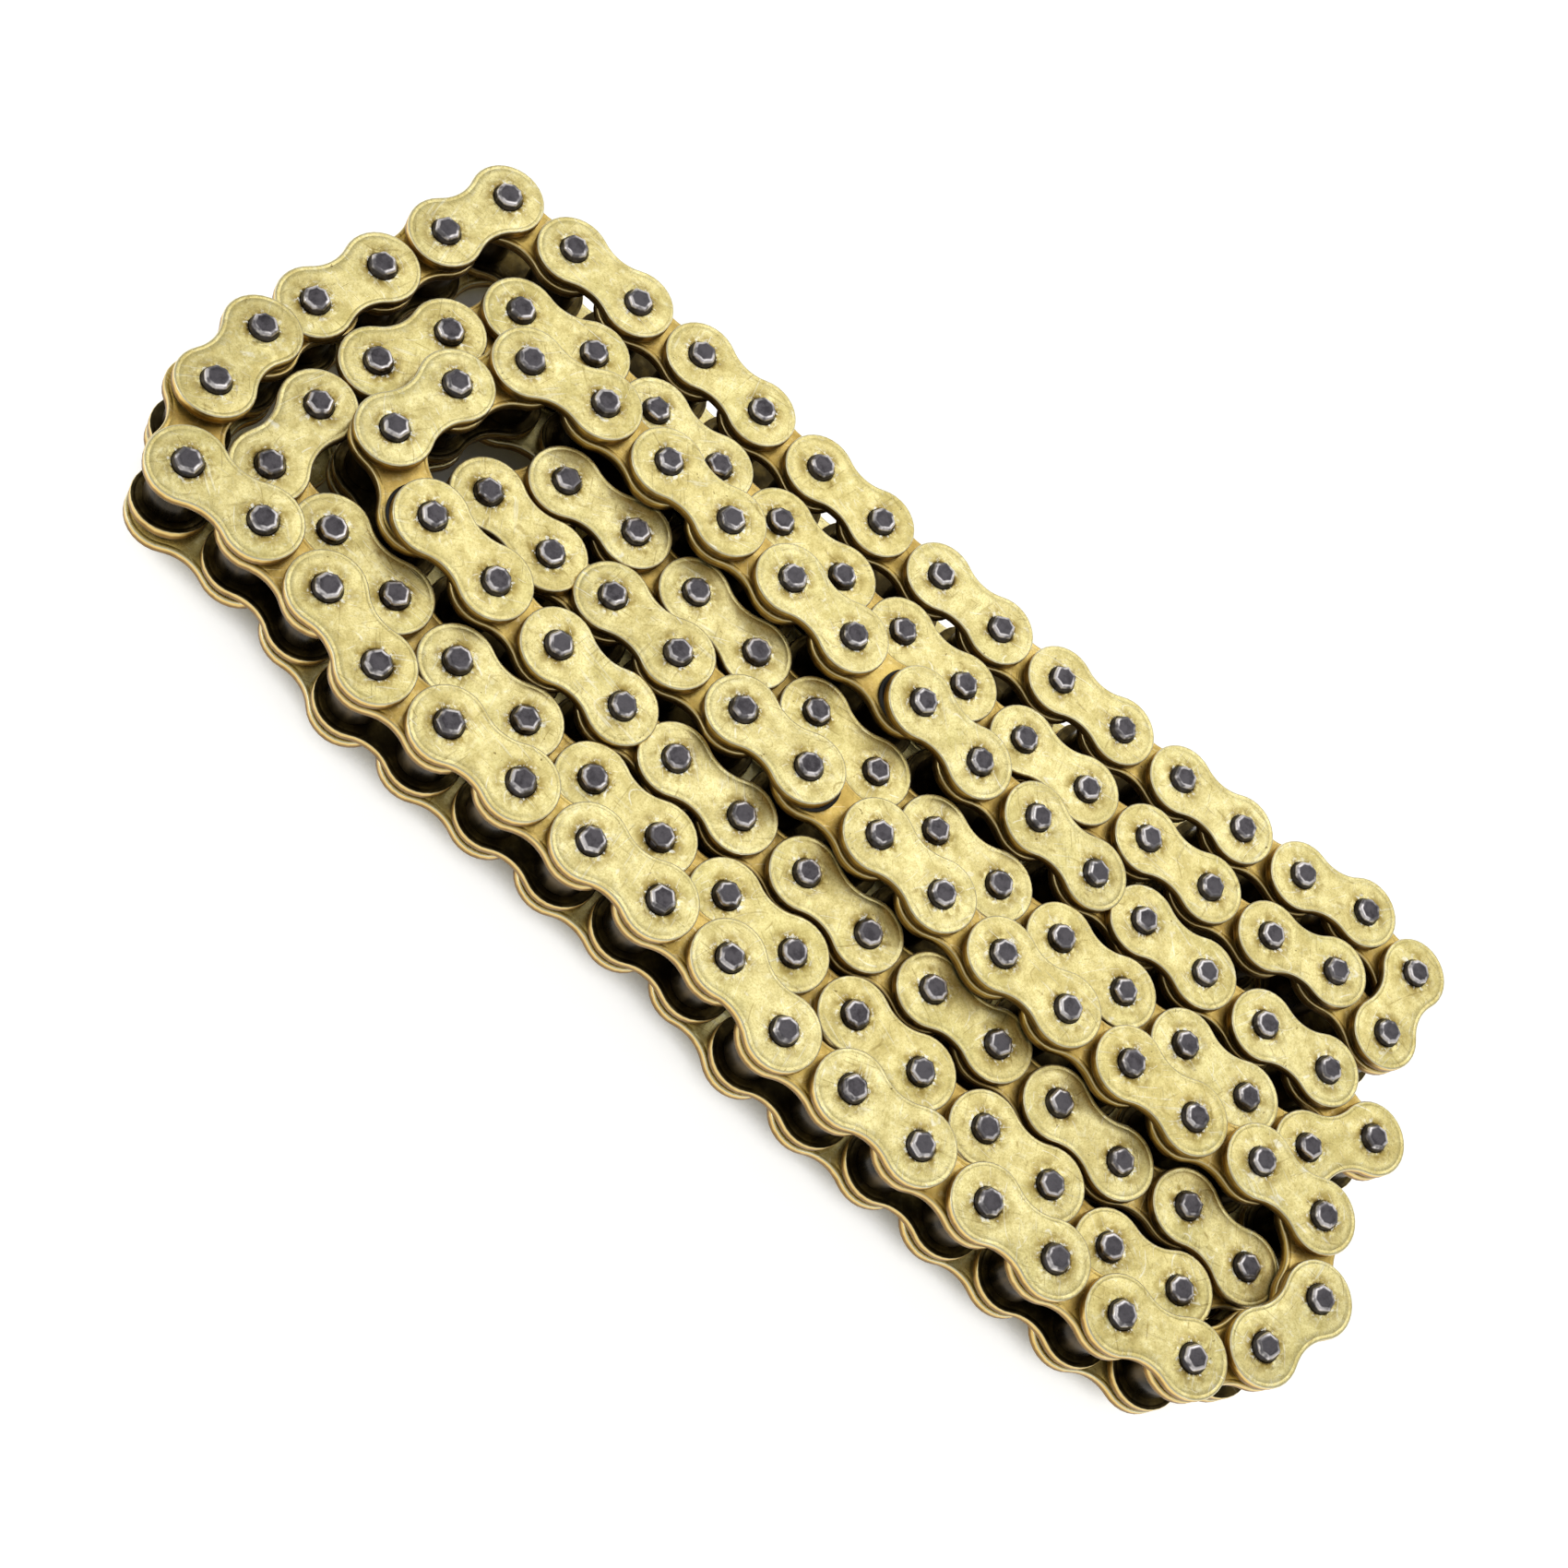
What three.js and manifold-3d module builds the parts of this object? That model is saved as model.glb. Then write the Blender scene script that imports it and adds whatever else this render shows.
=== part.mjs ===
// Heavy sealed roller drive chain, 12.7 mm pitch, 129 links, folded flat into eight runs with its
// pins upright. Millimetres, +Z up, +X along the runs. The origin is under the middle of the
// folded chain, on the surface it lies on.
import * as THREE from 'three';
import { mergeVertices } from 'three/addons/utils/BufferGeometryUtils.js';
import Module from 'manifold-3d';

const wasm = await Module();
wasm.setup();

// Chain sizes
const PITCH = 12.7;
const INNER_WIDTH = 7.9;
const PLATE = 1.85;
const SEAL_GAP = 0.85;
const PIN_PROUD = 1.3;
const OUTER_RADIUS = 6.1;
const INNER_RADIUS = 5.9;
const OUTER_WAIST = 4.4;
const INNER_WAIST = 4.2;
const ROLLER_RADIUS = 4.25;
const BUSH_RADIUS = 3.2;
const PIN_RADIUS = 2.25;
const SEAL_RADIUS = 4.9;
const RUNNING_GAP = 0.1;
const PRESS_GAP = 0.05;
const SIDE_GAP = 0.15;
const EDGE_BREAK = 0.35;

// Facets of the separate round pieces, and of the joined ones of the packed chain
const ROUND_SIDES = 12;
const ROLLER_SIDES = 14;
const SEAL_SIDES = 8;
const LOBE_STEPS = 6;
const WAIST_STEPS = 2;
const PACKED_LOBE_STEPS = 2;
const PACKED_LOBE_START = THREE.MathUtils.degToRad(103);
const PACKED_PIN_SIDES = 4;
const PACKED_PIN_RADIUS = 2.6;
const BARREL_SIDES = 6;
const HIDDEN_BARREL_SIDES = 4;

// Heights of the layers of one flat link, from the pin ends it stands on
const OUTER_LOW = PIN_PROUD;
const INNER_LOW = OUTER_LOW + PLATE + SEAL_GAP;
const INNER_HIGH = INNER_LOW + PLATE + INNER_WIDTH;
const OUTER_HIGH = INNER_HIGH + PLATE + SEAL_GAP;
const PIN_LENGTH = OUTER_HIGH + PLATE + PIN_PROUD;

// A raised run interleaves its plates with those of the run beside it
const LIFT = 4.9;
// [first pin, last pin, share of the lift at the first, share at the last]
const RAMPS = [
  [25, 29, 0, 1],
  [38, 42, 1, 0],
  [61, 65, 0, 1],
  [91, 94, 1, 0],
];

// The course of the chain from one open end to the other. A leg is a number of links and the
// heading they share, in degrees from +X, and each stretch starts where the last one stops. The
// rollers of a shown stretch can be seen from the sides.
const COURSE = [
  { name: 'open_end_a', legs: [[1, -85]] },
  { name: 'run_7', legs: [[3, -7], [5, -1], [1, -5], [3, -1], [1, -7], [1, 9]] },
  { name: 'fold_7_to_6', legs: [[1, 54]] },
  { name: 'run_6', legs: [[1, 173], [1, -172], [2, 176], [2, 180], [1, 175], [4, 179], [2, 177]] },
  { name: 'fold_6_to_3', legs: [[1, 147], [1, 81], [1, 65], [1, 14], [1, -2]] },
  { name: 'run_3', legs: [[5, -3], [5, 0], [1, 6]] },
  { name: 'fold_3_to_4', legs: [[1, -19], [1, -134], [1, -178]] },
  { name: 'run_4', legs: [[5, 180], [5, 175], [1, -175]] },
  { name: 'fold_4_to_5', legs: [[1, -125]] },
  { name: 'run_5', legs: [[1, -5], [1, 3], [6, -4], [3, 0], [1, 8], [1, -1]] },
  { name: 'fold_5_to_8', legs: [[1, -64], [1, -109], [1, -135], [1, -171]] },
  {
    name: 'run_8',
    shown: true,
    legs: [[5, 180], [1, 165], [3, 180], [2, -179], [1, 161], [1, 173], [1, -177]],
  },
  { name: 'side_arc', shown: true, legs: [[1, 116], [1, 95], [1, 82], [1, 76], [2, 77], [1, 4]] },
  { name: 'run_1', shown: true, legs: [[2, 2], [2, -3], [3, -1], [2, 2]] },
  { name: 'loose', legs: [[2, 2], [1, 4], [1, 13], [1, -13], [1, -88]] },
  { name: 'fold_1_to_2', legs: [[1, 168]] },
  { name: 'run_2', legs: [[1, -166], [4, -177], [6, 179], [1, 178], [1, -167], [1, -115]] },
  { name: 'open_end_b', legs: [[1, -110]] },
];

const gold = new THREE.MeshStandardMaterial({
  color: 0xd9c178, roughness: 0.34, metalness: 0.95, flatShading: true,
});
const deepGold = new THREE.MeshStandardMaterial({
  color: 0xb98b3a, roughness: 0.36, metalness: 0.95, flatShading: true,
});
const pinSteel = new THREE.MeshStandardMaterial({
  color: 0x56535a, roughness: 0.42, metalness: 0.9, flatShading: true,
});
const darkSteel = new THREE.MeshStandardMaterial({
  color: 0x1e1b19, roughness: 0.38, metalness: 0.85, flatShading: true,
});
const sealRubber = new THREE.MeshStandardMaterial({
  color: 0x0d0d0d, roughness: 0.7, metalness: 0, flatShading: true,
});

// ---- The course as pins and links

function shareOfLift(pin) {
  let share = 0;
  for (const [first, last, from, to] of RAMPS) {
    if (pin >= first) {
      const done = Math.min((pin - first) / (last - first), 1);
      share = from + (to - from) * done;
    }
  }
  return share;
}

// Every link: its stretch, its number, the pins it joins and the frame at its first pin
function layLinks() {
  const links = [];
  const at = new THREE.Vector3(0, 0, 0);
  for (const stretch of COURSE) {
    for (const [count, degrees] of stretch.legs) {
      for (let i = 0; i < count; i += 1) {
        const heading = THREE.MathUtils.degToRad(degrees);
        const rise = LIFT * (shareOfLift(links.length + 1) - shareOfLift(links.length));
        const slope = Math.asin(rise / PITCH);
        const along = Math.cos(slope) * PITCH;
        const to = at.clone();
        to.x += along * Math.cos(heading);
        to.y += along * Math.sin(heading);
        to.z += rise;
        const outer = links.length % 2 === 0;
        links.push({ stretch, number: links.length, outer, heading, slope, from: at.clone(), to });
        at.copy(to);
      }
    }
  }
  return links;
}

const links = layLinks();
const spread = new THREE.Box3();
for (const link of links) {
  spread.expandByPoint(link.from);
  spread.expandByPoint(link.to);
}
const middle = spread.getCenter(new THREE.Vector3());
middle.z = 0;
for (const link of links) {
  link.from.sub(middle);
  link.to.sub(middle);
  link.frame = new THREE.Matrix4()
    .makeTranslation(link.from)
    .multiply(new THREE.Matrix4().makeRotationZ(link.heading))
    .multiply(new THREE.Matrix4().makeRotationY(-link.slope));
}

// ---- Shapes

// The radius of a faceted hole whose flats clear a round piece by the gap
function holeRadius(radius, gap, sides) {
  return (radius + gap) / Math.cos(Math.PI / sides);
}

function arcPoints(x, y, radius, from, to, steps) {
  const points = [];
  for (let i = 0; i <= steps; i += 1) {
    const angle = from + ((to - from) * i) / steps;
    points.push(new THREE.Vector2(x + radius * Math.cos(angle), y + radius * Math.sin(angle)));
  }
  return points;
}

// The outline of a loose side plate, with its pin centres at x = 0 and x = PITCH. Its waist is
// an arc that meets both round ends without a corner.
function waistedOutline(radius, waist) {
  const half = PITCH / 2;
  const sweep = (half * half + waist * waist - radius * radius) / (2 * (radius - waist));
  const meet = Math.atan2(waist + sweep, half);
  return new THREE.Shape([
    ...arcPoints(0, 0, radius, meet, 2 * Math.PI - meet, LOBE_STEPS),
    ...arcPoints(half, -waist - sweep, sweep, Math.PI - meet, meet, WAIST_STEPS).slice(1, -1),
    ...arcPoints(PITCH, 0, radius, meet - Math.PI, Math.PI - meet, LOBE_STEPS),
    ...arcPoints(half, waist + sweep, sweep, -meet, meet - Math.PI, WAIST_STEPS).slice(1, -1),
  ]);
}

// The same outline with few sides, because the packed chain has hundreds of plates
function packedOutline(radius, waist) {
  const start = PACKED_LOBE_START;
  return new THREE.Shape([
    ...arcPoints(0, 0, radius, start, 2 * Math.PI - start, PACKED_LOBE_STEPS),
    new THREE.Vector2(PITCH / 2, -waist),
    ...arcPoints(PITCH, 0, radius, start - Math.PI, Math.PI - start, PACKED_LOBE_STEPS),
    new THREE.Vector2(PITCH / 2, waist),
  ]);
}

function extrudePlate(shape, low) {
  const options = { depth: PLATE, bevelEnabled: false };
  return new THREE.ExtrudeGeometry(shape, options).translate(0, 0, low);
}

function drilledPlate(radius, waist, low, hole) {
  const shape = waistedOutline(radius, waist);
  for (const x of [0, PITCH]) {
    shape.holes.push(new THREE.Path(arcPoints(x, 0, hole, 2 * Math.PI, 0, ROUND_SIDES).slice(1)));
  }
  return extrudePlate(shape, low);
}

// An outline of radii and heights turned about the upright axis at x
function turned(profile, sides, x) {
  const points = profile.map(([radius, height]) => new THREE.Vector2(radius, height));
  return new THREE.LatheGeometry(points, sides).rotateX(Math.PI / 2).translate(x, 0, 0);
}

function tube(inner, outer, low, high, sides, x) {
  return turned([[inner, low], [outer, low], [outer, high], [inner, high], [inner, low]], sides, x);
}

function pin(low, high, x) {
  const face = PIN_RADIUS - EDGE_BREAK;
  const profile = [[0, low], [face, low], [PIN_RADIUS, low + EDGE_BREAK]];
  profile.push([PIN_RADIUS, high - EDGE_BREAK], [face, high], [0, high]);
  return turned(profile, ROUND_SIDES, x);
}

function prism(radius, sides, low, high, x) {
  const geometry = new THREE.CylinderGeometry(radius, radius, high - low, sides);
  return geometry.rotateX(Math.PI / 2).rotateZ(Math.PI / sides).translate(x, 0, (low + high) / 2);
}

function addMesh(group, name, geometry, material) {
  const mesh = new THREE.Mesh(geometry, material);
  mesh.name = name;
  group.add(mesh);
}

// ---- The packed chain: one joined solid for each stretch

function toSolid(geometry) {
  geometry.deleteAttribute('normal');
  geometry.deleteAttribute('uv');
  const merged = mergeVertices(geometry, 1e-4);
  return new wasm.Manifold(new wasm.Mesh({
    numProp: 3,
    vertProperties: new Float32Array(merged.attributes.position.array),
    triVerts: new Uint32Array(merged.index.array),
  }));
}

function toGeometry(solid) {
  const mesh = solid.getMesh();
  const geometry = new THREE.BufferGeometry();
  geometry.setAttribute('position', new THREE.BufferAttribute(mesh.vertProperties, 3));
  geometry.setIndex(new THREE.BufferAttribute(mesh.triVerts, 1));
  return geometry;
}

function joinAll(solids) {
  return solids.reduce((joined, solid) => joined.add(solid));
}

const firstLoose = links.find((link) => link.stretch.name === 'loose').number;

// The pin at one end of an outer link. Where the next link is in another stretch, only the
// pin's ends are here, and where that stretch is the loose one, the pin is its hinge.
function packedPin(x, neighbour, link) {
  if (neighbour && neighbour.stretch !== link.stretch) {
    if (neighbour.number === firstLoose) {
      return [pin(0, PIN_LENGTH, x)];
    }
    return [
      prism(PACKED_PIN_RADIUS, PACKED_PIN_SIDES, 0, OUTER_LOW + PLATE / 2, x),
      prism(PACKED_PIN_RADIUS, PACKED_PIN_SIDES, OUTER_HIGH + PLATE / 2, PIN_LENGTH, x),
    ];
  }
  return [prism(PACKED_PIN_RADIUS, PACKED_PIN_SIDES, 0, PIN_LENGTH, x)];
}

function packedLink(link) {
  const [radius, waist] = link.outer ? [OUTER_RADIUS, OUTER_WAIST] : [INNER_RADIUS, INNER_WAIST];
  const lows = link.outer ? [OUTER_LOW, OUTER_HIGH] : [INNER_LOW, INNER_HIGH];
  const pieces = lows.map((low) => extrudePlate(packedOutline(radius, waist), low));
  if (link.outer) {
    pieces.push(...packedPin(0, links[link.number - 1], link));
    pieces.push(...packedPin(PITCH, links[link.number + 1], link));
  } else {
    const sides = link.stretch.shown ? BARREL_SIDES : HIDDEN_BARREL_SIDES;
    for (const x of [0, PITCH]) {
      pieces.push(prism(ROLLER_RADIUS, sides, lows[0] + PLATE / 2, lows[1] + PLATE / 2, x));
    }
  }
  const flat = toGeometry(joinAll(pieces.map(toSolid)));
  return toSolid(flat.applyMatrix4(link.frame));
}

function packedStretch(stretch) {
  return toGeometry(joinAll(links.filter((link) => link.stretch === stretch).map(packedLink)));
}

// ---- The loose stretch: every piece of its links on its own

const ENDS = [['near', 0], ['far', PITCH]];
const LAYERS = [['lower', OUTER_LOW, INNER_LOW], ['upper', OUTER_HIGH, INNER_HIGH]];

function outerLink(group, name, endsLoose) {
  const hole = holeRadius(PIN_RADIUS, PRESS_GAP, ROUND_SIDES);
  for (const [layer, low] of LAYERS) {
    const plate = drilledPlate(OUTER_RADIUS, OUTER_WAIST, low, hole);
    addMesh(group, `${name}_plate_${layer}`, plate, gold);
  }
  addMesh(group, `${name}_pin_near`, pin(0, PIN_LENGTH, 0), pinSteel);
  if (endsLoose) {
    // this pin's middle is left out, so that the stretch can leave the packed chain
    addMesh(group, `${name}_pin_far_lower`, pin(0, OUTER_LOW + PLATE, PITCH), pinSteel);
    addMesh(group, `${name}_pin_far_upper`, pin(OUTER_HIGH, PIN_LENGTH, PITCH), pinSteel);
  } else {
    addMesh(group, `${name}_pin_far`, pin(0, PIN_LENGTH, PITCH), pinSteel);
  }
}

function innerLink(group, name) {
  const hole = holeRadius(BUSH_RADIUS, PRESS_GAP, ROUND_SIDES);
  for (const [layer, outerLow, innerLow] of LAYERS) {
    const plate = drilledPlate(INNER_RADIUS, INNER_WAIST, innerLow, hole);
    addMesh(group, `${name}_plate_${layer}`, plate, deepGold);
    const sealLow = Math.min(outerLow, innerLow) + PLATE + SIDE_GAP;
    const sealHigh = Math.max(outerLow, innerLow) - SIDE_GAP;
    const sealBore = holeRadius(PIN_RADIUS, SIDE_GAP, SEAL_SIDES);
    for (const [end, x] of ENDS) {
      const seal = tube(sealBore, SEAL_RADIUS, sealLow, sealHigh, SEAL_SIDES, x);
      addMesh(group, `${name}_seal_${end}_${layer}`, seal, sealRubber);
    }
  }
  const pinBore = holeRadius(PIN_RADIUS, RUNNING_GAP, ROUND_SIDES);
  const bushBore = holeRadius(BUSH_RADIUS, RUNNING_GAP, ROLLER_SIDES);
  const rollerLow = INNER_LOW + PLATE + SIDE_GAP;
  const rollerHigh = INNER_HIGH - SIDE_GAP;
  for (const [end, x] of ENDS) {
    const bush = tube(pinBore, BUSH_RADIUS, INNER_LOW, INNER_HIGH + PLATE, ROUND_SIDES, x);
    const roller = tube(bushBore, ROLLER_RADIUS, rollerLow, rollerHigh, ROLLER_SIDES, x);
    addMesh(group, `${name}_bush_${end}`, bush, darkSteel);
    addMesh(group, `${name}_roller_${end}`, roller, darkSteel);
  }
}

// ---- The whole chain

const chain = new THREE.Group();
for (const stretch of COURSE.filter((each) => each.name !== 'loose')) {
  addMesh(chain, stretch.name, packedStretch(stretch), gold);
}

const looseLinks = links.filter((link) => link.stretch.name === 'loose');
for (const link of looseLinks) {
  const group = new THREE.Group();
  group.position.copy(link.from);
  group.rotation.z = link.heading;
  const name = `link_${link.number - firstLoose + 1}`;
  if (link.outer) {
    outerLink(group, name, link === looseLinks[looseLinks.length - 1]);
  } else {
    innerLink(group, name);
  }
  chain.add(group);
}

export default chain;
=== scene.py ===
"""A heavy sealed roller drive chain, folded flat into eight runs with its pins upright.

Every link is built piece by piece: waisted side plates, staked pins, bushes, rollers and seal
rings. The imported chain's pieces are gathered by stretch, and the loose links keep one piece for
each CAD node. Metres, +Z up.
"""
import math
import random

import bmesh
import bpy
import numpy as np
from mathutils import Matrix, Vector


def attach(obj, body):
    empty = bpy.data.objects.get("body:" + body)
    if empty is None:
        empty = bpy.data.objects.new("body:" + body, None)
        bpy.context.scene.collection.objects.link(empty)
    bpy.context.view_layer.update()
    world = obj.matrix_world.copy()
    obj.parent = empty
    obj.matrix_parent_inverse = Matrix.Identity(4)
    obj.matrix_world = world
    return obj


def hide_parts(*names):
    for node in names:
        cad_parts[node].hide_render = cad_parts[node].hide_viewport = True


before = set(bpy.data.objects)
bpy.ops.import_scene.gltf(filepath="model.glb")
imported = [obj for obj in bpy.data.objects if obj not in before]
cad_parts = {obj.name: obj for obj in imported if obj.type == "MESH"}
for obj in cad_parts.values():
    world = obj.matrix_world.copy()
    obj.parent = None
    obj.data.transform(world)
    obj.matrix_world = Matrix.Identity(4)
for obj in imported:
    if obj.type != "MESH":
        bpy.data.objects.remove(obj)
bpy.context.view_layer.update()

MM = 0.001

# Chain sizes, as in the CAD model, but for the outer plates. Those are 6.1 mm in radius and
# 4.4 mm in the waist there, and a little smaller here, to give the open ends room to turn.
PITCH = 12.7 * MM
INNER_WIDTH = 7.9 * MM
PLATE = 1.85 * MM
SEAL_GAP = 0.85 * MM
PIN_PROUD = 1.3 * MM
OUTER_RADIUS = 5.97 * MM
INNER_RADIUS = 5.9 * MM
OUTER_WAIST = 4.32 * MM
INNER_WAIST = 4.2 * MM
ROLLER_RADIUS = 4.25 * MM
BUSH_RADIUS = 3.2 * MM
PIN_RADIUS = 2.25 * MM
SEAL_RADIUS = 4.9 * MM
RUNNING_GAP = 0.1 * MM
PRESS_GAP = 0.02 * MM
SIDE_GAP = 0.15 * MM
LIFT = 4.9 * MM

# Heights of the layers of one flat link
OUTER_LOW = PIN_PROUD
INNER_LOW = OUTER_LOW + PLATE + SEAL_GAP
INNER_HIGH = INNER_LOW + PLATE + INNER_WIDTH
OUTER_HIGH = INNER_HIGH + PLATE + SEAL_GAP
PIN_LENGTH = OUTER_HIGH + PLATE + PIN_PROUD

# The course of the chain: each stretch's name and its legs, as links and their heading in degrees
COURSE = [
    ("open_end_a", [(1, -85)]),
    ("run_7", [(3, -7), (5, -1), (1, -5), (3, -1), (1, -7), (1, 9)]),
    ("fold_7_to_6", [(1, 54)]),
    ("run_6", [(1, 173), (1, -172), (2, 176), (2, 180), (1, 175), (4, 179), (2, 177)]),
    ("fold_6_to_3", [(1, 147), (1, 81), (1, 65), (1, 14), (1, -2)]),
    ("run_3", [(5, -3), (5, 0), (1, 6)]),
    ("fold_3_to_4", [(1, -19), (1, -134), (1, -178)]),
    ("run_4", [(5, 180), (5, 175), (1, -175)]),
    ("fold_4_to_5", [(1, -125)]),
    ("run_5", [(1, -5), (1, 3), (6, -4), (3, 0), (1, 8), (1, -1)]),
    ("fold_5_to_8", [(1, -64), (1, -109), (1, -135), (1, -171)]),
    ("run_8", [(5, 180), (1, 165), (3, 180), (2, -179), (1, 161), (1, 173), (1, -177)]),
    ("side_arc", [(1, 116), (1, 95), (1, 82), (1, 76), (2, 77), (1, 4)]),
    ("run_1", [(2, 2), (2, -3), (3, -1), (2, 2)]),
    ("loose", [(2, 2), (1, 4), (1, 13), (1, -13), (1, -88)]),
    ("fold_1_to_2", [(1, 168)]),
    ("run_2", [(1, -166), (4, -177), (6, 179), (1, 178), (1, -167), (1, -115)]),
    ("open_end_b", [(1, -110)]),
]

# Where the chain climbs onto its neighbour and back: first pin, last pin, share of the lift at each
RAMPS = [(25, 29, 0, 1), (38, 42, 1, 0), (61, 65, 0, 1), (91, 94, 1, 0)]

# Mesh fineness
LOBE_STEPS = 22
WAIST_STEPS = 5
MIDDLE_STEPS = 5
PIN_SIDES = 32
ROLLER_SIDES = 48
BUSH_SIDES = 32
SEAL_SIDES = 36
SHARP_ANGLE = math.radians(42)

rng = random.Random(7)


# ---- The course as links

def share_of_lift(pin):
    """How much of the lift onto its neighbours the chain has at a pin, 0 to 1."""
    share = 0.0
    for first, last, start, end in RAMPS:
        if pin >= first:
            done = min((pin - first) / (last - first), 1)
            share = start + (end - start) * done
    return share


def lay_links():
    """Every link of the chain: its stretch, number, kind and frame, centred as the CAD chain is."""
    links = []
    at = Vector((0, 0, 0))
    pins = [at.copy()]
    for stretch, legs in COURSE:
        for count, degrees in legs:
            for _ in range(count):
                number = len(links)
                rise = LIFT * (share_of_lift(number + 1) - share_of_lift(number))
                slope = math.asin(rise / PITCH)
                heading = math.radians(degrees)
                along = math.cos(slope) * PITCH
                links.append({
                    "stretch": stretch,
                    "number": number,
                    "outer": number % 2 == 0,
                    "heading": heading,
                    "slope": slope,
                    "start": at.copy(),
                })
                at = at + Vector((along * math.cos(heading), along * math.sin(heading), rise))
                pins.append(at.copy())
    middle = Vector((
        (min(p.x for p in pins) + max(p.x for p in pins)) / 2,
        (min(p.y for p in pins) + max(p.y for p in pins)) / 2,
        0,
    ))
    for link in links:
        turn = Matrix.Rotation(link["heading"], 4, "Z") @ Matrix.Rotation(-link["slope"], 4, "Y")
        link["frame"] = Matrix.Translation(link["start"] - middle) @ turn
    return links


# ---- Shapes

class Shape:
    """Points and faces, with values for each point that the materials read: rim is 1 on a side
    wall or a pin's chamfer corner, where painted highlights and painted shade go, bore the
    distance from the pin in mm, tone the piece's own random tint, the fourth value 1 on an inner
    plate's face towards the rollers, where near black painted shade goes, depth the share of the
    way down a plate, and grain the place in the material's pattern."""

    def __init__(self, values=("rim", "bore", "tone", "oil", "depth")):
        self.points = []
        self.faces = []
        self.grain = []
        self.values = {name: [] for name in values}

    def add_point(self, point, **values):
        self.points.append(tuple(point))
        self.grain.append(tuple(point))
        for name, stored in self.values.items():
            stored.append(values.get(name, 0.0))
        return len(self.points) - 1

    def add(self, other, matrix, tone=0.0):
        """Adds another shape, moved by the matrix, with its own tone and its own place in the
        grain of its material."""
        first = len(self.points)
        turn = np.array(Matrix.Rotation(rng.uniform(0, 2 * math.pi), 3, "Z"))
        shift = np.array([rng.uniform(-1, 1) for _ in range(3)])
        self.grain.extend(map(tuple, np.array(other.grain) @ turn.T + shift))
        moved = np.array(other.points) @ np.array(matrix.to_3x3()).T + np.array(matrix.translation)
        self.points.extend(map(tuple, moved))
        self.faces.extend([[first + i for i in face] for face in other.faces])
        for name, stored in self.values.items():
            own = other.values[name]
            stored.extend([tone] * len(own) if name == "tone" else own)

    def weld(self, grain=1e-8):
        """Joins the points that lie in the same place."""
        places, where, kept = {}, [], []
        for i, point in enumerate(self.points):
            key = tuple(round(c / grain) for c in point)
            if key not in places:
                places[key] = len(kept)
                kept.append(i)
            where.append(places[key])
        self.points = [self.points[i] for i in kept]
        self.grain = list(self.points)
        self.values = {name: [own[i] for i in kept] for name, own in self.values.items()}
        faces = []
        for face in self.faces:
            ring = []
            for i in face:
                if not ring or where[i] != ring[-1]:
                    ring.append(where[i])
            if ring[0] == ring[-1]:
                ring.pop()
            if len(ring) > 2:
                faces.append(ring)
        self.faces = faces
        return self


def make_piece(name, shape, material, body, stands_for):
    """A mesh object from the shape, riding on its body and standing for a CAD node."""
    mesh = bpy.data.meshes.new(name)
    mesh.from_pydata(shape.points, [], shape.faces)
    for value, stored in shape.values.items():
        mesh.attributes.new(value, "FLOAT", "POINT").data.foreach_set("value", stored)
    grain = mesh.attributes.new("grain", "FLOAT_VECTOR", "POINT")
    grain.data.foreach_set("vector", np.array(shape.grain, dtype=np.float32).ravel())
    mesh.shade_smooth()
    mesh.set_sharp_from_angle(angle=SHARP_ANGLE)
    mesh.materials.append(material)
    piece = bpy.data.objects.new(name, mesh)
    bpy.context.scene.collection.objects.link(piece)
    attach(piece, body)
    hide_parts(stands_for)


def facing_out(shape):
    """Turns the faces of a closed shape to point outwards."""
    mesh = bpy.data.meshes.new("temporary")
    mesh.from_pydata(shape.points, [], shape.faces)
    work = bmesh.new()
    work.from_mesh(mesh)
    bmesh.ops.recalc_face_normals(work, faces=work.faces)
    shape.faces = [[vert.index for vert in face.verts] for face in work.faces]
    work.free()
    bpy.data.meshes.remove(mesh)
    return shape


def plate_outline(radius, waist, inset):
    """Half a plate's outline, from the middle of its far waist round the pin to the near one."""
    half = PITCH / 2
    sweep = (half * half + waist * waist - radius * radius) / (2 * (radius - waist))
    meet = math.atan2(waist + sweep, half)
    points = []
    for i in range(WAIST_STEPS):
        angle = -math.pi / 2 + (meet - math.pi / 2) * i / WAIST_STEPS
        reach = sweep + inset
        points.append((half + reach * math.cos(angle), waist + sweep + reach * math.sin(angle)))
    for i in range(LOBE_STEPS + 1):
        angle = meet + (2 * math.pi - 2 * meet) * i / LOBE_STEPS
        reach = radius - inset
        points.append((reach * math.cos(angle), reach * math.sin(angle)))
    points.extend((x, -y) for x, y in reversed(points[:WAIST_STEPS]))
    return points


def closed_outline(radius, waist, inset):
    """The same half outline, closed by points along the middle of the plate."""
    edge = waist - inset
    middle = [
        (PITCH / 2, -edge + 2 * edge * i / MIDDLE_STEPS) for i in range(1, MIDDLE_STEPS)
    ]
    return plate_outline(radius, waist, inset) + middle


# A plate's edge in section, as inset from its outline and depth below its face
ROUNDED_EDGE = [
    (0.30 * MM, 0.0),
    (0.16 * MM, 0.035 * MM),
    (0.06 * MM, 0.12 * MM),
    (0.0, 0.27 * MM),
]
# The fine line that the press leaves inside the rim
COINED_LINE = [
    (0.88 * MM, 0.0),
    (0.78 * MM, 0.035 * MM),
    (0.68 * MM, 0.035 * MM),
    (0.58 * MM, 0.0),
]
RIM_WIDTH = 0.9 * MM
WALL_LEVELS = (0.62, 0.45)
# How far the rows of a face have come from its rim towards the hole, and the rings round the hole
FACE_SHARES = (0.0, 0.35, 0.7)
HOLE_RINGS = (0.75 * MM, 0.3 * MM, 0.08 * MM)
COUNTERSINK = 0.08 * MM


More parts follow.
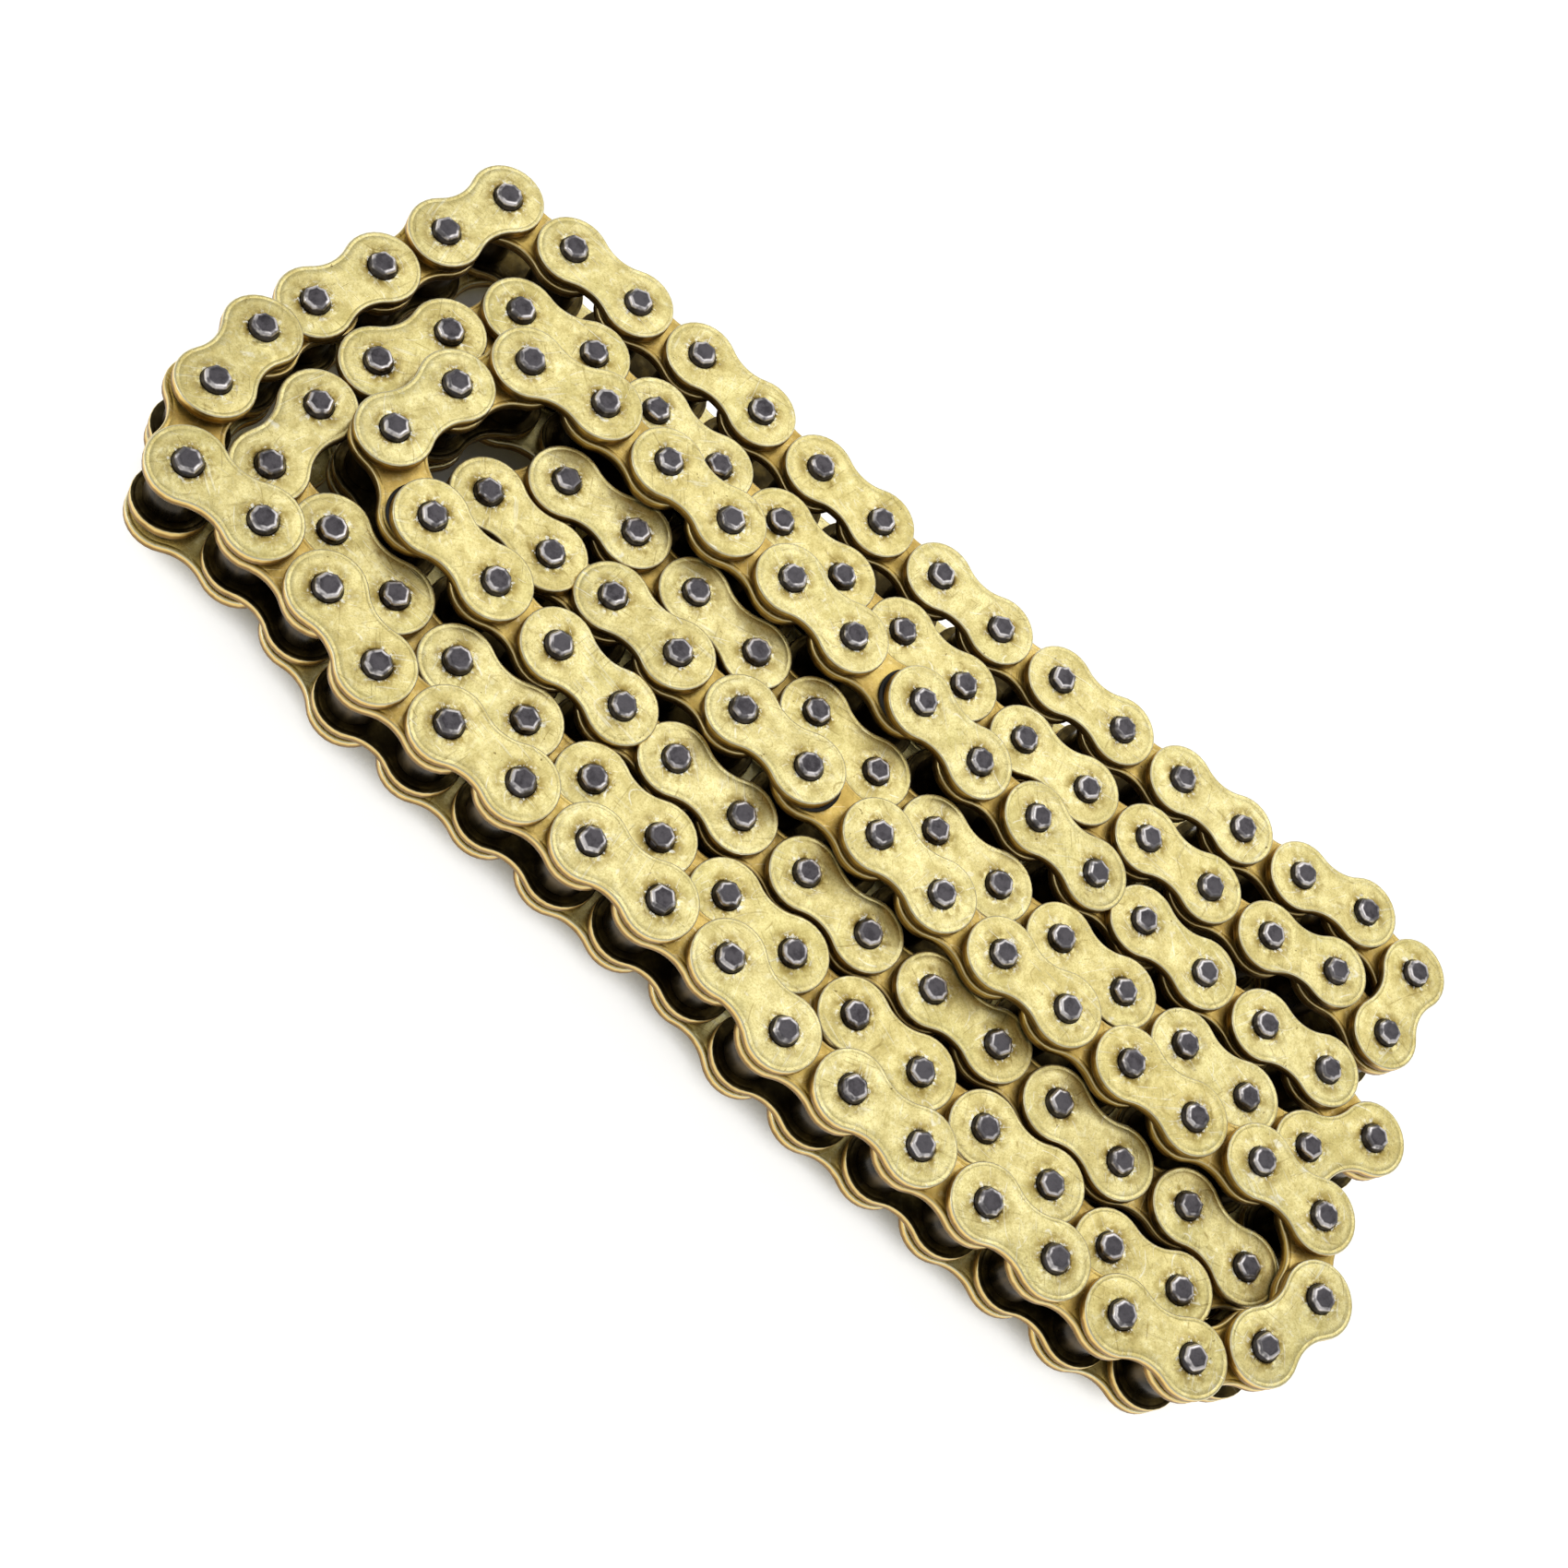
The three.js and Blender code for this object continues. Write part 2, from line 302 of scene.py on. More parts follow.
def bridge(shape, ring, following, closed):
    """Joins two rings of points with quads, all the way round where they are closed."""
    for i in range(len(ring) if closed else len(ring) - 1):
        j = (i + 1) % len(ring)
        shape.faces.append([ring[i], following[i], following[j], ring[j]])


def edge_section():
    """A plate's edge in section, from its top face round to its bottom one: inset and height."""
    rim = COINED_LINE + ROUNDED_EDGE
    section = [(inset, PLATE - depth) for inset, depth in rim]
    section += [(0.0, PLATE * share) for share in WALL_LEVELS]
    return section + [(inset, depth) for inset, depth in reversed(rim)]


def rim_value(inset):
    """1 on the side wall, and 0.5 falling to 0 across the rim of a face."""
    return 1.0 if inset < 0.01 * MM else 0.5 * (1 - inset / RIM_WIDTH)


def add_plate_edge(shape, radius, waist, low, oiled):
    """The edge of half a plate, from the rim of one face over the wall to the other."""
    rings = []
    for inset, height in edge_section():
        share = height / PLATE
        face = "top" if share > 0.98 else "bottom" if share < 0.02 else None
        oil = 1.0 if oiled and face == oiled else 0.0
        ring = []
        for x, y in plate_outline(radius, waist, inset):
            ring.append(shape.add_point(
                (x, y, low + height),
                rim=rim_value(inset), bore=math.hypot(x, y) / MM, oil=oil, depth=1 - share,
            ))
        rings.append(ring)
    for ring, following in zip(rings, rings[1:]):
        bridge(shape, ring, following, closed=False)


def add_row(shape, reaches, angles, height, oil=0.0):
    """A row of points round the pin, each at its own reach."""
    row = []
    for reach, angle in zip(reaches, angles):
        place = (reach * math.cos(angle), reach * math.sin(angle), height)
        row.append(shape.add_point(place, bore=reach / MM, oil=oil))
    return row


def add_plate_face(shape, radius, waist, hole, height, inward, oil):
    """One face of half a plate, from its rim to its countersunk hole. Returns the hole's row."""
    loop = closed_outline(radius, waist, COINED_LINE[0][0])
    angles = [math.atan2(y, x) for x, y in loop]
    near = hole + HOLE_RINGS[0]
    rows = []
    for share in FACE_SHARES:
        spans = [math.hypot(x, y) for x, y in loop]
        reaches = [far + (near - far) * share for far in spans]
        rows.append(add_row(shape, reaches, angles, height, oil))
    for width in HOLE_RINGS:
        rows.append(add_row(shape, [hole + width] * len(loop), angles, height, oil))
    sunk = height + inward * COUNTERSINK
    rows.append(add_row(shape, [hole] * len(loop), angles, sunk))
    for row, following in zip(rows, rows[1:]):
        bridge(shape, row, following, closed=True)
    return rows[-1]


def half_plate(radius, waist, hole, low, oiled):
    """Half of a side plate with its hole, closed but for the plate's middle. The shaded face, top
    or bottom, is the one towards the rollers, and it gets painted shade."""
    shape = Shape()
    add_plate_edge(shape, radius, waist, low, oiled)
    size = (radius, waist, hole)
    top = add_plate_face(shape, *size, low + PLATE, -1, float(oiled == "top"))
    bottom = add_plate_face(shape, *size, low, 1, float(oiled == "bottom"))
    bridge(shape, top, bottom, closed=True)
    return shape


def plate_shape(radius, waist, hole, low, oiled=None):
    """A whole side plate, made of one half and the same half turned round."""
    half = half_plate(radius, waist, hole, low, oiled)
    whole = Shape()
    whole.add(half, Matrix.Identity(4))
    whole.add(half, Matrix.Translation((PITCH, 0, 0)) @ Matrix.Rotation(math.pi, 4, "Z"))
    return facing_out(whole.weld())


def turned_shape(profile, sides, x):
    """A closed profile of radii and heights, turned about the upright axis at x."""
    shape = Shape()
    rings = []
    for radius, height in profile:
        ring = []
        for i in range(sides):
            angle = 2 * math.pi * i / sides
            place = (x + radius * math.cos(angle), radius * math.sin(angle), height)
            ring.append(shape.add_point(place))
        rings.append(ring)
    for ring, following in zip(rings, rings[1:] + rings[:1]):
        bridge(shape, ring, following, closed=True)
    return facing_out(shape)


def roller_shape(x):
    """A polished roller with rolled ends."""
    bore = BUSH_RADIUS + RUNNING_GAP
    low = INNER_LOW + PLATE + SIDE_GAP
    high = INNER_HIGH - SIDE_GAP
    ease, chip = 0.35 * MM, 0.1 * MM
    profile = [
        (bore, low + chip),
        (bore + chip, low),
        (ROLLER_RADIUS - ease, low),
        (ROLLER_RADIUS - chip, low + chip),
        (ROLLER_RADIUS, low + ease),
        (ROLLER_RADIUS, high - ease),
        (ROLLER_RADIUS - chip, high - chip),
        (ROLLER_RADIUS - ease, high),
        (bore + chip, high),
        (bore, high - chip),
    ]
    return turned_shape(profile, ROLLER_SIDES, x)


def bush_shape(x):
    """A bush, pressed into both inner plates."""
    bore = PIN_RADIUS + RUNNING_GAP
    low, high = INNER_LOW, INNER_HIGH + PLATE
    ease = 0.2 * MM
    profile = [
        (bore, low + ease),
        (bore + ease, low),
        (BUSH_RADIUS - ease, low),
        (BUSH_RADIUS, low + ease),
        (BUSH_RADIUS, high - ease),
        (BUSH_RADIUS - ease, high),
        (bore + ease, high),
        (bore, high - ease),
    ]
    return turned_shape(profile, BUSH_SIDES, x)


def seal_shape(x, layer):
    """A seal ring with four lips, squeezed between an outer and an inner plate."""
    low = OUTER_LOW + PLATE if layer == "lower" else INNER_HIGH + PLATE
    play, dip, lip = 0.03 * MM, 0.12 * MM, 0.2 * MM
    floor, roof = low + play, low + SEAL_GAP - play
    middle = (floor + roof) / 2
    inner = BUSH_RADIUS + dip
    width = SEAL_RADIUS - inner
    profile = [
        (inner, middle - lip),
        (inner + 0.22 * width, floor),
        (inner + 0.5 * width, floor + dip),
        (inner + 0.78 * width, floor),
        (SEAL_RADIUS, middle - lip),
        (SEAL_RADIUS - 0.1 * MM, middle),
        (SEAL_RADIUS, middle + lip),
        (inner + 0.78 * width, roof),
        (inner + 0.5 * width, roof - dip),
        (inner + 0.22 * width, roof),
        (inner, middle + lip),
    ]
    return turned_shape(profile, SEAL_SIDES, x)


STAKE_FORCE = 1.25
STAKED_FLATS = [6, 6, 7, 7, 8]
STAKE_UNEVENNESS = 0.16


def staked_radius(angle, radius, flats, start, flatness, unevenness):
    """The radius of a staked pin head, which goes from round to flat-sided with flatness."""
    turn = (angle - start + unevenness * math.sin(2 * (angle - start))) % (2 * math.pi)
    sector = 2 * math.pi / flats
    within = turn % sector - sector / 2
    flat = math.cos(sector / 2) / math.cos(within)
    return radius * (1 + flatness * (flat - 1) * STAKE_FORCE)


# A staked head in section, from its flat end down: radius, depth below the end, flatness
HEAD = [
    (1.20 * MM, 0.0, 0.9),
    (1.80 * MM, 0.02 * MM, 1.0),
    (1.97 * MM, 0.11 * MM, 1.0),
    (2.08 * MM, 0.30 * MM, 0.9),
    (2.17 * MM, 0.62 * MM, 0.55),
    (2.25 * MM, 0.95 * MM, 0.15),
    (2.25 * MM, 1.45 * MM, 0.0),
]
CUT_END = [(PIN_RADIUS - 0.1 * MM, 0, 0), (PIN_RADIUS, 0.1 * MM, 0)]
# The rings of a staked head's chamfer, where painted highlights go
GLINT_RINGS = range(1, 4)


def add_head(shape, x, end, inward, staked):
    """One end of a pin, as its rings of points from the flat end inwards."""
    flats = rng.choice(STAKED_FLATS)
    start = rng.uniform(0, 2 * math.pi)
    unevenness = rng.uniform(-STAKE_UNEVENNESS, STAKE_UNEVENNESS)
    rings = []
    for order, (radius, depth, flatness) in enumerate(HEAD if staked else CUT_END):
        glint_ring = 1.0 if staked and order in GLINT_RINGS else 0.0
        ring = []
        for i in range(PIN_SIDES):
            angle = 2 * math.pi * i / PIN_SIDES
            reach = staked_radius(angle, radius, flats, start, flatness, unevenness)
            place = (x + reach * math.cos(angle), reach * math.sin(angle), end + inward * depth)
            ring.append(shape.add_point(place, rim=glint_ring, bore=reach / MM))
        rings.append(ring)
    return rings


def pin_shape(x, low=0.0, high=PIN_LENGTH, staked_low=True, staked_high=True):
    """A pin with its own uneven staked heads. An end that isn't staked is cut flat."""
    shape = Shape()
    rings = add_head(shape, x, high, -1, staked_high)
    rings += reversed(add_head(shape, x, low, 1, staked_low))
    for ring, following in zip(rings, rings[1:]):
        bridge(shape, ring, following, closed=True)
    for ring, height, order in ((rings[0], high, 1), (rings[-1], low, -1)):
        centre = shape.add_point((x, 0, height))
        for i in range(PIN_SIDES):
            j = (i + 1) % PIN_SIDES
            shape.faces.append([centre, ring[i], ring[j]][::order])
    return shape


# ---- Materials

class Nodes:
    """A small helper that adds linked shader nodes."""

    def __init__(self, name):
        self.material = bpy.data.materials.new(name)
        self.material.use_nodes = True
        self.tree = self.material.node_tree
        self.tree.nodes.clear()
        self.shader = self.add("ShaderNodeBsdfPrincipled")
        output = self.add("ShaderNodeOutputMaterial")
        self.tree.links.new(self.shader.outputs[0], output.inputs["Surface"])
        self.place = self.add("ShaderNodeAttribute", attribute_name="grain").outputs["Vector"]

    def add(self, kind, **settings):
        node = self.tree.nodes.new(kind)
        for setting, value in settings.items():
            setattr(node, setting, value)
        return node

    def feed(self, socket, value):
        if isinstance(value, bpy.types.NodeSocket):
            self.tree.links.new(value, socket)
        else:
            socket.default_value = value

    def attribute(self, name):
        return self.add("ShaderNodeAttribute", attribute_name=name).outputs["Fac"]

    def noise(self, scale, detail=2.0, roughness=0.5, stretch=None):
        """Noise of about 0 to 1. The scale is in features to the metre."""
        place = self.place
        if stretch:
            mapping = self.add("ShaderNodeMapping")
            self.feed(mapping.inputs["Vector"], place)
            mapping.inputs["Scale"].default_value = stretch
            mapping.inputs["Rotation"].default_value = (0.0, 0.0, 0.6)
            place = mapping.outputs["Vector"]
        node = self.add("ShaderNodeTexNoise")
        self.feed(node.inputs["Vector"], place)
        node.inputs["Scale"].default_value = scale
        node.inputs["Detail"].default_value = detail
        node.inputs["Roughness"].default_value = roughness
        return node.outputs["Fac"]

    def math(self, operation, first, second=0.0, clamp=False):
        node = self.add("ShaderNodeMath", operation=operation, use_clamp=clamp)
        self.feed(node.inputs[0], first)
        self.feed(node.inputs[1], second)
        return node.outputs[0]

    def band(self, value, start, end, low=0.0, high=1.0):
        """The value's place from start to end as low to high, eased and held at both ends."""
        node = self.add("ShaderNodeMapRange", interpolation_type="SMOOTHSTEP")
        self.feed(node.inputs["Value"], value)
        node.inputs["From Min"].default_value = start
        node.inputs["From Max"].default_value = end
        node.inputs["To Min"].default_value = low
        node.inputs["To Max"].default_value = high
        return node.outputs["Result"]

    def mix(self, share, first, second, blend="MIX"):
        node = self.add("ShaderNodeMix", data_type="RGBA", blend_type=blend)
        self.feed(node.inputs["Factor"], share)
        self.feed(node.inputs["A"], first)
        self.feed(node.inputs["B"], second)
        return node.outputs["Result"]

    def bump(self, height, distance, strength=1.0, under=None):
        node = self.add("ShaderNodeBump")
        node.inputs["Strength"].default_value = strength
        node.inputs["Distance"].default_value = distance
        self.feed(node.inputs["Height"], height)
        if under:
            self.feed(node.inputs["Normal"], under)
        return node.outputs["Normal"]


def colour(red, green, blue):
    return (red, green, blue, 1.0)


# Wear, dirt and grain on the plating, and the painted shade and painted highlights laid over them
OLIVE = colour(0.66, 0.60, 0.22)
GRAIN = colour(0.50, 0.41, 0.13)
BLOTCH = colour(0.58, 0.48, 0.15)
PALE_BLOTCH = colour(0.98, 0.93, 0.62)
# Stain round each pin: partly tarnish, partly painted contact shade
STAIN_AND_SHADE = colour(0.42, 0.29, 0.055)
# Painted shade: the near black ring where each pin meets the plate
PIN_FOOT_SHADE = colour(0.11, 0.07, 0.022)
# Painted highlight: bright flecks round each pin
GLINT_FLECK = colour(1.0, 0.98, 0.85)
SPECK = colour(0.22, 0.15, 0.04)
SCRATCH = colour(0.98, 0.94, 0.70)
CUT = colour(0.38, 0.28, 0.08)
# Painted shade on the side walls: brown partway down, near black at the bottom
WALL_SHADE = colour(0.30, 0.165, 0.035)
WALL_DEEP_SHADE = colour(0.06, 0.035, 0.010)
# Painted shade: near black on the inner plates' faces towards the rollers
GAP_SHADE = colour(0.022, 0.016, 0.008)

# Patches over the gold: size as features to the metre, detail, roughness, where they start and
# are full in the noise, strength, colour
PATCHES = [
    (110, 3, 0.5, 0.48, 0.72, 0.30, OLIVE),
    (3000, 3, 0.75, 0.42, 0.66, 0.52, GRAIN),
    (800, 4, 0.7, 0.50, 0.68, 0.38, BLOTCH),
    (620, 4, 0.7, 0.54, 0.72, 0.50, PALE_BLOTCH),
]
# Long curved hairlines: features to the metre, colour, strength
HAIRLINES = [
    (95, colour(0.32, 0.22, 0.05), 0.50),
    (130, colour(1.0, 0.97, 0.80), 0.60),
    (175, CUT, 0.45),
    (240, colour(1.0, 0.96, 0.78), 0.50),
]


def plating_tint(nodes, mottle, pale, deep):
    """Mottled gold with olive clouds, fine grain and blotches."""
    tone = nodes.math("MULTIPLY", nodes.attribute("tone"), 0.4)
    share = nodes.math("ADD", nodes.band(mottle, 0.32, 0.68), tone)
    tint = nodes.mix(nodes.math("MULTIPLY", share, 0.7, clamp=True), pale, deep)
    for scale, detail, roughness, start, full, strength, cover in PATCHES:
        patches = nodes.noise(scale, detail, roughness)
        tint = nodes.mix(nodes.band(patches, start, full, 0.0, strength), tint, cover)
    return tint


def add_pin_stain_shade_and_glints(nodes, tint, bore, near_pin):
    """Round each pin: a stain, partly tarnish and partly painted contact shade, a near black ring
    of painted shade where the pin meets the plate, and painted highlights as bright flecks.
    Returns the tint and the strength of the stain and shade."""
    noise = nodes.noise(430, detail=5, roughness=0.68)
    # Stain and painted contact shade, in patches, fading outwards from the pin
    stain_and_shade = nodes.math("MULTIPLY", near_pin, nodes.band(noise, 0.42, 0.60), clamp=True)
    tint = nodes.mix(nodes.math("MULTIPLY", stain_and_shade, 0.88), tint, STAIN_AND_SHADE)
    ragged = nodes.math("ADD", bore, nodes.math("MULTIPLY", noise, -1.3))
    # Painted shade: a ragged near black ring at the foot of the pin
    tint = nodes.mix(nodes.band(ragged, 1.60, 2.0, 0.9, 0.0), tint, PIN_FOOT_SHADE)
    # Painted highlights: sparse bright flecks a little way out from the pin
    sparse = nodes.band(nodes.noise(1300, detail=3, roughness=0.6), 0.56, 0.64)
    glint_flecks = nodes.math("MULTIPLY", nodes.band(bore, 2.5, 3.7, 1.0, 0.0), sparse)
    tint = nodes.mix(nodes.math("MULTIPLY", glint_flecks, 0.85), tint, GLINT_FLECK)
    return tint, stain_and_shade


def add_scratches(nodes, tint):
    """Brown specks, bright scratches and dark cuts. Returns the tint and the scratches' height."""
    specks = nodes.band(nodes.noise(1100, detail=2, roughness=0.6), 0.70, 0.75)
    specks = nodes.math("MULTIPLY", specks, nodes.band(nodes.noise(150), 0.46, 0.60))
    tint = nodes.mix(nodes.math("MULTIPLY", specks, 0.85), tint, SPECK)
    lines = nodes.band(nodes.noise(2100, detail=1, stretch=(1.0, 0.07, 1.0)), 0.64, 0.70)
    patchy = nodes.band(nodes.noise(170, detail=1), 0.45, 0.60)
    lines = nodes.math("MULTIPLY", lines, patchy)
    tint = nodes.mix(nodes.math("MULTIPLY", lines, 0.40), tint, SCRATCH)
    cuts = nodes.band(nodes.noise(2600, detail=1, stretch=(0.07, 1.0, 1.0)), 0.67, 0.72)
    patchy = nodes.band(nodes.noise(190, detail=1), 0.42, 0.55)
    cuts = nodes.math("MULTIPLY", cuts, patchy)
    tint = nodes.mix(nodes.math("MULTIPLY", cuts, 0.35), tint, CUT)
    return tint, nodes.math("SUBTRACT", lines, cuts)


def add_hairlines(nodes, tint):
    """Faint long arcs, dark and bright, along the contours of a smooth noise."""
    for scale, line_colour, strength in HAIRLINES:
        swirl = nodes.noise(scale, detail=0, stretch=(1.0, 0.35, 1.0))
        swirl = nodes.math("FRACT", nodes.math("MULTIPLY", swirl, 9.0))
        swirl = nodes.math("ABSOLUTE", nodes.math("SUBTRACT", swirl, 0.5))
        hair = nodes.band(swirl, 0.010, 0.040, 1.0, 0.0)
        where = nodes.band(nodes.noise(scale * 3.1, detail=3), 0.53, 0.63)
        hair = nodes.math("MULTIPLY", hair, where)
        tint = nodes.mix(nodes.math("MULTIPLY", hair, strength), tint, line_colour)
    return tint


def add_walls(nodes, tint, wall, edge):
    """The rounded rim is painted bright, a painted highlight, and the side walls are painted darker
    downwards, a painted shade.
    """
    rim = nodes.attribute("rim")
    # Painted highlight: the rounded rim is painted pale
    tint = nodes.mix(nodes.band(rim, 0.30, 0.46, 0.0, 0.75), tint, edge)
    uneven = nodes.math("MULTIPLY", nodes.noise(600, detail=3, stretch=(1.0, 1.0, 0.3)), 0.35)
    shade_depth = nodes.math("ADD", nodes.attribute("depth"), uneven)
    # Painted shade: the walls go from the wall colour under the rim through brown to near black at
    # the bottom
    side = nodes.mix(nodes.band(shade_depth, 0.42, 0.72), wall, WALL_SHADE)
    side = nodes.mix(nodes.band(shade_depth, 0.80, 1.15), side, WALL_DEEP_SHADE)
    return nodes.mix(nodes.band(rim, 0.52, 0.80), tint, side)


def add_oil(nodes, tint):
    """The faces towards the rollers are painted near black: painted shade between the inner plates.
    """
    # The painted shade is patchy, from 80 to 97 percent of the way to near black
    film = nodes.band(nodes.noise(350, detail=3), 0.25, 0.6, 0.80, 0.97)
    oil = nodes.math("MULTIPLY", nodes.band(nodes.attribute("oil"), 0.1, 0.9), film)
    return nodes.mix(oil, tint, GAP_SHADE)


def plating_relief(nodes, near_pin, scored):
    """Shallow dents, a burr round each pin, fine grain and the scratches, as one normal."""
    dents = nodes.bump(nodes.noise(280, detail=4, roughness=0.6), 0.00007)
    burr = nodes.math("MULTIPLY", near_pin, nodes.noise(900, detail=3))
    burr = nodes.bump(burr, 0.00016, under=dents)
    fine = nodes.bump(nodes.noise(2600), 0.000010, under=burr)
    return nodes.bump(scored, 0.000012, under=fine)


def plated_material(name, pale, deep, wall, edge, shade_cast):
    """Gold-plated steel. The last colour multiplies the faces' colour; where it is darker than
    white, it is painted shade.
    """
    nodes = Nodes(name)
    bore = nodes.attribute("bore")
    near_pin = nodes.band(bore, 2.3, 4.6, 1.0, 0.0)
    mottle = nodes.noise(330, detail=5, roughness=0.62)
    tint = plating_tint(nodes, mottle, pale, deep)
    tint, stain_and_shade = add_pin_stain_shade_and_glints(nodes, tint, bore, near_pin)
    tint, scored = add_scratches(nodes, tint)
    tint = add_hairlines(nodes, tint)
    # Painted shade: this multiplies the faces' colour, and it is darker for the inner plates
    tint = nodes.mix(1.0, tint, shade_cast, blend="MULTIPLY")
    tint = add_walls(nodes, tint, wall, edge)
    tint = add_oil(nodes, tint)
    dull = nodes.math("MULTIPLY", stain_and_shade, 0.12)
    rough = nodes.math("ADD", nodes.band(mottle, 0.3, 0.7, 0.34, 0.50), dull)
    nodes.feed(nodes.shader.inputs["Base Color"], tint)
    nodes.shader.inputs["Metallic"].default_value = 1.0
    nodes.feed(nodes.shader.inputs["Roughness"], rough)
    nodes.feed(nodes.shader.inputs["Normal"], plating_relief(nodes, near_pin, scored))
    return nodes.material


def pin_material():
    """Gunmetal pins: dull peened ends, with painted highlights on the chamfered corners."""
    nodes = Nodes("pin_steel")
    patches = nodes.noise(700, detail=4, roughness=0.65)
    dark, light = colour(0.040, 0.036, 0.040), colour(0.125, 0.115, 0.125)
    grey, corner_glint = colour(0.115, 0.11, 0.12), colour(0.92, 0.87, 0.86)
    tint = nodes.mix(nodes.band(patches, 0.3, 0.7), dark, light)
    tone = nodes.math("MULTIPLY", nodes.attribute("tone"), 0.35, clamp=True)
    tint = nodes.mix(tone, tint, grey)
    # Painted highlight: the chamfered corners are painted near white in uneven patches
    corner = nodes.band(nodes.attribute("rim"), 0.30, 0.95)
    uneven = nodes.band(nodes.noise(500), 0.40, 0.56, 0.15, 1.0)
    tint = nodes.mix(nodes.math("MULTIPLY", corner, uneven), tint, corner_glint)
    nodes.feed(nodes.shader.inputs["Base Color"], tint)
    nodes.shader.inputs["Metallic"].default_value = 1.0
    nodes.feed(nodes.shader.inputs["Roughness"], nodes.band(patches, 0.3, 0.7, 0.30, 0.50))
    peened = nodes.bump(nodes.noise(1300, detail=3, roughness=0.6), 0.00005)
    nodes.feed(nodes.shader.inputs["Normal"], peened)
    return nodes.material


def dark_steel_material():
    """Oiled near-black steel of the rollers and bushes, with brown streaks."""
    nodes = Nodes("roller_steel")
    streaks = nodes.noise(260, detail=4, roughness=0.6, stretch=(1.0, 1.0, 0.25))
    black, brown = colour(0.020, 0.016, 0.010), colour(0.13, 0.092, 0.045)
    tint = nodes.mix(nodes.band(streaks, 0.35, 0.7), black, brown)
    nodes.feed(nodes.shader.inputs["Base Color"], tint)
    nodes.shader.inputs["Metallic"].default_value = 1.0
    nodes.feed(nodes.shader.inputs["Roughness"], nodes.band(streaks, 0.3, 0.7, 0.24, 0.42))
    nodes.shader.inputs["Coat Weight"].default_value = 0.05
    nodes.shader.inputs["Coat Roughness"].default_value = 0.12
    nodes.feed(nodes.shader.inputs["Normal"], nodes.bump(nodes.noise(800, detail=2), 0.00001))
    return nodes.material


def rubber_material():
    """Black rubber with a thin uneven film of grease."""
    nodes = Nodes("seal_rubber")
    film = nodes.noise(900, detail=3)
    tint = nodes.mix(film, colour(0.006, 0.006, 0.006), colour(0.022, 0.020, 0.018))
    nodes.feed(nodes.shader.inputs["Base Color"], tint)
    nodes.feed(nodes.shader.inputs["Roughness"], nodes.band(film, 0.3, 0.7, 0.38, 0.62))
    nodes.feed(nodes.shader.inputs["Normal"], nodes.bump(nodes.noise(2200, detail=2), 0.00001))
    return nodes.material


# In each plating, the edge colour is a painted highlight on the rounded rim, and the wall colour is
# the top of the painted shade that darkens the walls downwards
gold = plated_material(
    "gold_plating",
    pale=colour(0.92, 0.82, 0.41),
    deep=colour(0.77, 0.64, 0.25),
    wall=colour(0.84, 0.60, 0.20),
    edge=colour(0.98, 0.93, 0.68),
    shade_cast=colour(1.0, 1.0, 1.0),
)
# The inner plates: a darker, more orange copy of the gold, as painted shade for the plates that lie
# under the outer ones
shaded_gold = plated_material(
    "shaded_gold_plating",
    pale=colour(0.78, 0.65, 0.28),
    deep=colour(0.60, 0.45, 0.15),
    wall=colour(0.82, 0.60, 0.22),
    edge=colour(0.92, 0.80, 0.46),
    shade_cast=colour(1.0, 0.88, 0.66),
)
pin_steel = pin_material()
dark_steel = dark_steel_material()
seal_rubber = rubber_material()


# ---- The chain

OUTER_SIZE = (OUTER_RADIUS, OUTER_WAIST, PIN_RADIUS + PRESS_GAP)
INNER_SIZE = (INNER_RADIUS, INNER_WAIST, BUSH_RADIUS + PRESS_GAP)
OUTER_PLATES = {
    "lower": plate_shape(*OUTER_SIZE, OUTER_LOW),
    "upper": plate_shape(*OUTER_SIZE, OUTER_HIGH),
}
INNER_PLATES = {
    # The inner plates' faces towards the rollers get painted shade
    "lower": plate_shape(*INNER_SIZE, INNER_LOW, oiled="top"),
    "upper": plate_shape(*INNER_SIZE, INNER_HIGH, oiled="bottom"),
}
ENDS = {"near": 0.0, "far": PITCH}
LAYERS = ("lower", "upper")
ROLLERS = {end: roller_shape(x) for end, x in ENDS.items()}
BUSHES = {end: bush_shape(x) for end, x in ENDS.items()}
SEALS = {(end, layer): seal_shape(x, layer) for end, x in ENDS.items() for layer in LAYERS}


def any_tone():
    """The shade of one piece: most are a little darker than the material, some paler."""
    return rng.uniform(-0.5, 1.0)


# Each kind of gathered piece, with its material and its slot name
KINDS = {
    "outer_plates": (gold, "gold_plate"),
    "inner_plates": (shaded_gold, "inner_plate"),
    "pins": (pin_steel, "pin_steel"),
    "bushes": (dark_steel, "roller_steel"),
    "rollers": (dark_steel, "roller_steel"),
    "seals": (seal_rubber, "seal_rubber"),
}


def gather(stretch, links, body):
    """The pieces of one packed stretch, which stand for its one CAD node."""
    shapes = {kind: Shape() for kind in KINDS}
    for link in links:
        where = link["frame"]
        if link["outer"]:
            for layer in LAYERS:
                shapes["outer_plates"].add(OUTER_PLATES[layer], where, any_tone())
            for x in ENDS.values():
                shapes["pins"].add(pin_shape(x), where, any_tone())
        else:
            for layer in LAYERS:
                shapes["inner_plates"].add(INNER_PLATES[layer], where, any_tone())
                for end in ENDS:
                    shapes["seals"].add(SEALS[end, layer], where)
            for end in ENDS:
                shapes["bushes"].add(BUSHES[end], where, any_tone())
                shapes["rollers"].add(ROLLERS[end], where, any_tone())
    for kind, (material, slot) in KINDS.items():
        if shapes[kind].faces:
            make_piece(f"{stretch}_{kind}", shapes[kind], material, body, stretch)


